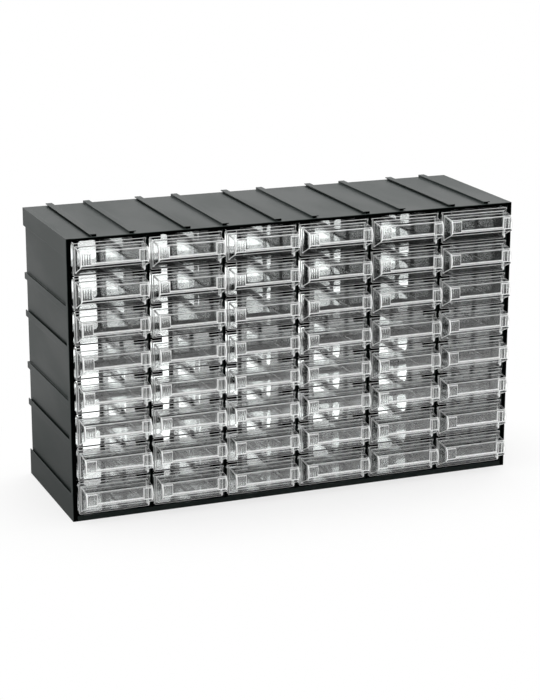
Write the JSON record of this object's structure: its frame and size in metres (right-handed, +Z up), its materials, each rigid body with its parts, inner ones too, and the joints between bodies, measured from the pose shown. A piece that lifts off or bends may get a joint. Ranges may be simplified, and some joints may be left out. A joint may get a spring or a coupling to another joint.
{
  "type": "parts bin cabinet",
  "caption": "Bench cabinet of clear slide-out drawers in a dark moulded casing, with undercut rails on its top and sides for joining it to others.",
  "frame": {"origin": "centre of the cabinet's footprint, noses included, on the surface it stands on", "axes": "+Z up, front of the drawers towards -Y, +X to the right seen from the front"},
  "size_m": [0.6, 0.225, 0.363],
  "materials": {
    "casing": "satin moulded polystyrene, dark grey",
    "drawer": "clear polished polystyrene"
  },
  "bodies": {
    "casing": {"left_panel": "casing", "right_panel": "casing", "top_panel": "casing", "bottom_panel": "casing", "back_panel": "casing", "divider_1": "casing", "divider_2": "casing", "divider_3": "casing", "divider_4": "casing", "divider_5": "casing"},
    "drawer_r1_c1": {"drawer_r1_c1": "drawer"},
    "drawer_r1_c2": {"drawer_r1_c2": "drawer"},
    "drawer_r1_c3": {"drawer_r1_c3": "drawer"},
    "drawer_r1_c4": {"drawer_r1_c4": "drawer"},
    "drawer_r1_c5": {"drawer_r1_c5": "drawer"},
    "drawer_r1_c6": {"drawer_r1_c6": "drawer"},
    "drawer_r2_c1": {"drawer_r2_c1": "drawer"},
    "drawer_r2_c2": {"drawer_r2_c2": "drawer"},
    "drawer_r2_c3": {"drawer_r2_c3": "drawer"},
    "drawer_r2_c4": {"drawer_r2_c4": "drawer"},
    "drawer_r2_c5": {"drawer_r2_c5": "drawer"},
    "drawer_r2_c6": {"drawer_r2_c6": "drawer"},
    "drawer_r3_c1": {"drawer_r3_c1": "drawer"},
    "drawer_r3_c2": {"drawer_r3_c2": "drawer"},
    "drawer_r3_c3": {"drawer_r3_c3": "drawer"},
    "drawer_r3_c4": {"drawer_r3_c4": "drawer"},
    "drawer_r3_c5": {"drawer_r3_c5": "drawer"},
    "drawer_r3_c6": {"drawer_r3_c6": "drawer"},
    "drawer_r4_c1": {"drawer_r4_c1": "drawer"},
    "drawer_r4_c2": {"drawer_r4_c2": "drawer"},
    "drawer_r4_c3": {"drawer_r4_c3": "drawer"},
    "drawer_r4_c4": {"drawer_r4_c4": "drawer"},
    "drawer_r4_c5": {"drawer_r4_c5": "drawer"},
    "drawer_r4_c6": {"drawer_r4_c6": "drawer"},
    "drawer_r5_c1": {"drawer_r5_c1": "drawer"},
    "drawer_r5_c2": {"drawer_r5_c2": "drawer"},
    "drawer_r5_c3": {"drawer_r5_c3": "drawer"},
    "drawer_r5_c4": {"drawer_r5_c4": "drawer"},
    "drawer_r5_c5": {"drawer_r5_c5": "drawer"},
    "drawer_r5_c6": {"drawer_r5_c6": "drawer"},
    "drawer_r6_c1": {"drawer_r6_c1": "drawer"},
    "drawer_r6_c2": {"drawer_r6_c2": "drawer"},
    "drawer_r6_c3": {"drawer_r6_c3": "drawer"},
    "drawer_r6_c4": {"drawer_r6_c4": "drawer"},
    "drawer_r6_c5": {"drawer_r6_c5": "drawer"},
    "drawer_r6_c6": {"drawer_r6_c6": "drawer"},
    "drawer_r7_c1": {"drawer_r7_c1": "drawer"},
    "drawer_r7_c2": {"drawer_r7_c2": "drawer"},
    "drawer_r7_c3": {"drawer_r7_c3": "drawer"},
    "drawer_r7_c4": {"drawer_r7_c4": "drawer"},
    "drawer_r7_c5": {"drawer_r7_c5": "drawer"},
    "drawer_r7_c6": {"drawer_r7_c6": "drawer"},
    "drawer_r8_c1": {"drawer_r8_c1": "drawer"},
    "drawer_r8_c2": {"drawer_r8_c2": "drawer"},
    "drawer_r8_c3": {"drawer_r8_c3": "drawer"},
    "drawer_r8_c4": {"drawer_r8_c4": "drawer"},
    "drawer_r8_c5": {"drawer_r8_c5": "drawer"},
    "drawer_r8_c6": {"drawer_r8_c6": "drawer"}
  },
  "joints": [
    {"name": "slide_r1_c1", "type": "slide", "parent": "casing", "child": "drawer_r1_c1", "axis": [0, -1, 0], "range_m": [0, 0.1862]},
    {"name": "slide_r1_c2", "type": "slide", "parent": "casing", "child": "drawer_r1_c2", "axis": [0, -1, 0], "range_m": [0, 0.1862]},
    {"name": "slide_r1_c3", "type": "slide", "parent": "casing", "child": "drawer_r1_c3", "axis": [0, -1, 0], "range_m": [0, 0.1862]},
    {"name": "slide_r1_c4", "type": "slide", "parent": "casing", "child": "drawer_r1_c4", "axis": [0, -1, 0], "range_m": [0, 0.1862]},
    {"name": "slide_r1_c5", "type": "slide", "parent": "casing", "child": "drawer_r1_c5", "axis": [0, -1, 0], "range_m": [0, 0.1862]},
    {"name": "slide_r1_c6", "type": "slide", "parent": "casing", "child": "drawer_r1_c6", "axis": [0, -1, 0], "range_m": [0, 0.1862]},
    {"name": "slide_r2_c1", "type": "slide", "parent": "casing", "child": "drawer_r2_c1", "axis": [0, -1, 0], "range_m": [0, 0.1862]},
    {"name": "slide_r2_c2", "type": "slide", "parent": "casing", "child": "drawer_r2_c2", "axis": [0, -1, 0], "range_m": [0, 0.1862]},
    {"name": "slide_r2_c3", "type": "slide", "parent": "casing", "child": "drawer_r2_c3", "axis": [0, -1, 0], "range_m": [0, 0.1862]},
    {"name": "slide_r2_c4", "type": "slide", "parent": "casing", "child": "drawer_r2_c4", "axis": [0, -1, 0], "range_m": [0, 0.1862]},
    {"name": "slide_r2_c5", "type": "slide", "parent": "casing", "child": "drawer_r2_c5", "axis": [0, -1, 0], "range_m": [0, 0.1862]},
    {"name": "slide_r2_c6", "type": "slide", "parent": "casing", "child": "drawer_r2_c6", "axis": [0, -1, 0], "range_m": [0, 0.1862]},
    {"name": "slide_r3_c1", "type": "slide", "parent": "casing", "child": "drawer_r3_c1", "axis": [0, -1, 0], "range_m": [0, 0.1862]},
    {"name": "slide_r3_c2", "type": "slide", "parent": "casing", "child": "drawer_r3_c2", "axis": [0, -1, 0], "range_m": [0, 0.1862]},
    {"name": "slide_r3_c3", "type": "slide", "parent": "casing", "child": "drawer_r3_c3", "axis": [0, -1, 0], "range_m": [0, 0.1862]},
    {"name": "slide_r3_c4", "type": "slide", "parent": "casing", "child": "drawer_r3_c4", "axis": [0, -1, 0], "range_m": [0, 0.1862]},
    {"name": "slide_r3_c5", "type": "slide", "parent": "casing", "child": "drawer_r3_c5", "axis": [0, -1, 0], "range_m": [0, 0.1862]},
    {"name": "slide_r3_c6", "type": "slide", "parent": "casing", "child": "drawer_r3_c6", "axis": [0, -1, 0], "range_m": [0, 0.1862]},
    {"name": "slide_r4_c1", "type": "slide", "parent": "casing", "child": "drawer_r4_c1", "axis": [0, -1, 0], "range_m": [0, 0.1862]},
    {"name": "slide_r4_c2", "type": "slide", "parent": "casing", "child": "drawer_r4_c2", "axis": [0, -1, 0], "range_m": [0, 0.1862]},
    {"name": "slide_r4_c3", "type": "slide", "parent": "casing", "child": "drawer_r4_c3", "axis": [0, -1, 0], "range_m": [0, 0.1862]},
    {"name": "slide_r4_c4", "type": "slide", "parent": "casing", "child": "drawer_r4_c4", "axis": [0, -1, 0], "range_m": [0, 0.1862]},
    {"name": "slide_r4_c5", "type": "slide", "parent": "casing", "child": "drawer_r4_c5", "axis": [0, -1, 0], "range_m": [0, 0.1862]},
    {"name": "slide_r4_c6", "type": "slide", "parent": "casing", "child": "drawer_r4_c6", "axis": [0, -1, 0], "range_m": [0, 0.1862]},
    {"name": "slide_r5_c1", "type": "slide", "parent": "casing", "child": "drawer_r5_c1", "axis": [0, -1, 0], "range_m": [0, 0.1862]},
    {"name": "slide_r5_c2", "type": "slide", "parent": "casing", "child": "drawer_r5_c2", "axis": [0, -1, 0], "range_m": [0, 0.1862]},
    {"name": "slide_r5_c3", "type": "slide", "parent": "casing", "child": "drawer_r5_c3", "axis": [0, -1, 0], "range_m": [0, 0.1862]},
    {"name": "slide_r5_c4", "type": "slide", "parent": "casing", "child": "drawer_r5_c4", "axis": [0, -1, 0], "range_m": [0, 0.1862]},
    {"name": "slide_r5_c5", "type": "slide", "parent": "casing", "child": "drawer_r5_c5", "axis": [0, -1, 0], "range_m": [0, 0.1862]},
    {"name": "slide_r5_c6", "type": "slide", "parent": "casing", "child": "drawer_r5_c6", "axis": [0, -1, 0], "range_m": [0, 0.1862]},
    {"name": "slide_r6_c1", "type": "slide", "parent": "casing", "child": "drawer_r6_c1", "axis": [0, -1, 0], "range_m": [0, 0.1862]},
    {"name": "slide_r6_c2", "type": "slide", "parent": "casing", "child": "drawer_r6_c2", "axis": [0, -1, 0], "range_m": [0, 0.1862]},
    {"name": "slide_r6_c3", "type": "slide", "parent": "casing", "child": "drawer_r6_c3", "axis": [0, -1, 0], "range_m": [0, 0.1862]},
    {"name": "slide_r6_c4", "type": "slide", "parent": "casing", "child": "drawer_r6_c4", "axis": [0, -1, 0], "range_m": [0, 0.1862]},
    {"name": "slide_r6_c5", "type": "slide", "parent": "casing", "child": "drawer_r6_c5", "axis": [0, -1, 0], "range_m": [0, 0.1862]},
    {"name": "slide_r6_c6", "type": "slide", "parent": "casing", "child": "drawer_r6_c6", "axis": [0, -1, 0], "range_m": [0, 0.1862]},
    {"name": "slide_r7_c1", "type": "slide", "parent": "casing", "child": "drawer_r7_c1", "axis": [0, -1, 0], "range_m": [0, 0.1862]},
    {"name": "slide_r7_c2", "type": "slide", "parent": "casing", "child": "drawer_r7_c2", "axis": [0, -1, 0], "range_m": [0, 0.1862]},
    {"name": "slide_r7_c3", "type": "slide", "parent": "casing", "child": "drawer_r7_c3", "axis": [0, -1, 0], "range_m": [0, 0.1862]},
    {"name": "slide_r7_c4", "type": "slide", "parent": "casing", "child": "drawer_r7_c4", "axis": [0, -1, 0], "range_m": [0, 0.1862]},
    {"name": "slide_r7_c5", "type": "slide", "parent": "casing", "child": "drawer_r7_c5", "axis": [0, -1, 0], "range_m": [0, 0.1862]},
    {"name": "slide_r7_c6", "type": "slide", "parent": "casing", "child": "drawer_r7_c6", "axis": [0, -1, 0], "range_m": [0, 0.1862]},
    {"name": "slide_r8_c1", "type": "slide", "parent": "casing", "child": "drawer_r8_c1", "axis": [0, -1, 0], "range_m": [0, 0.1862]},
    {"name": "slide_r8_c2", "type": "slide", "parent": "casing", "child": "drawer_r8_c2", "axis": [0, -1, 0], "range_m": [0, 0.1862]},
    {"name": "slide_r8_c3", "type": "slide", "parent": "casing", "child": "drawer_r8_c3", "axis": [0, -1, 0], "range_m": [0, 0.1862]},
    {"name": "slide_r8_c4", "type": "slide", "parent": "casing", "child": "drawer_r8_c4", "axis": [0, -1, 0], "range_m": [0, 0.1862]},
    {"name": "slide_r8_c5", "type": "slide", "parent": "casing", "child": "drawer_r8_c5", "axis": [0, -1, 0], "range_m": [0, 0.1862]},
    {"name": "slide_r8_c6", "type": "slide", "parent": "casing", "child": "drawer_r8_c6", "axis": [0, -1, 0], "range_m": [0, 0.1862]}
  ]
}
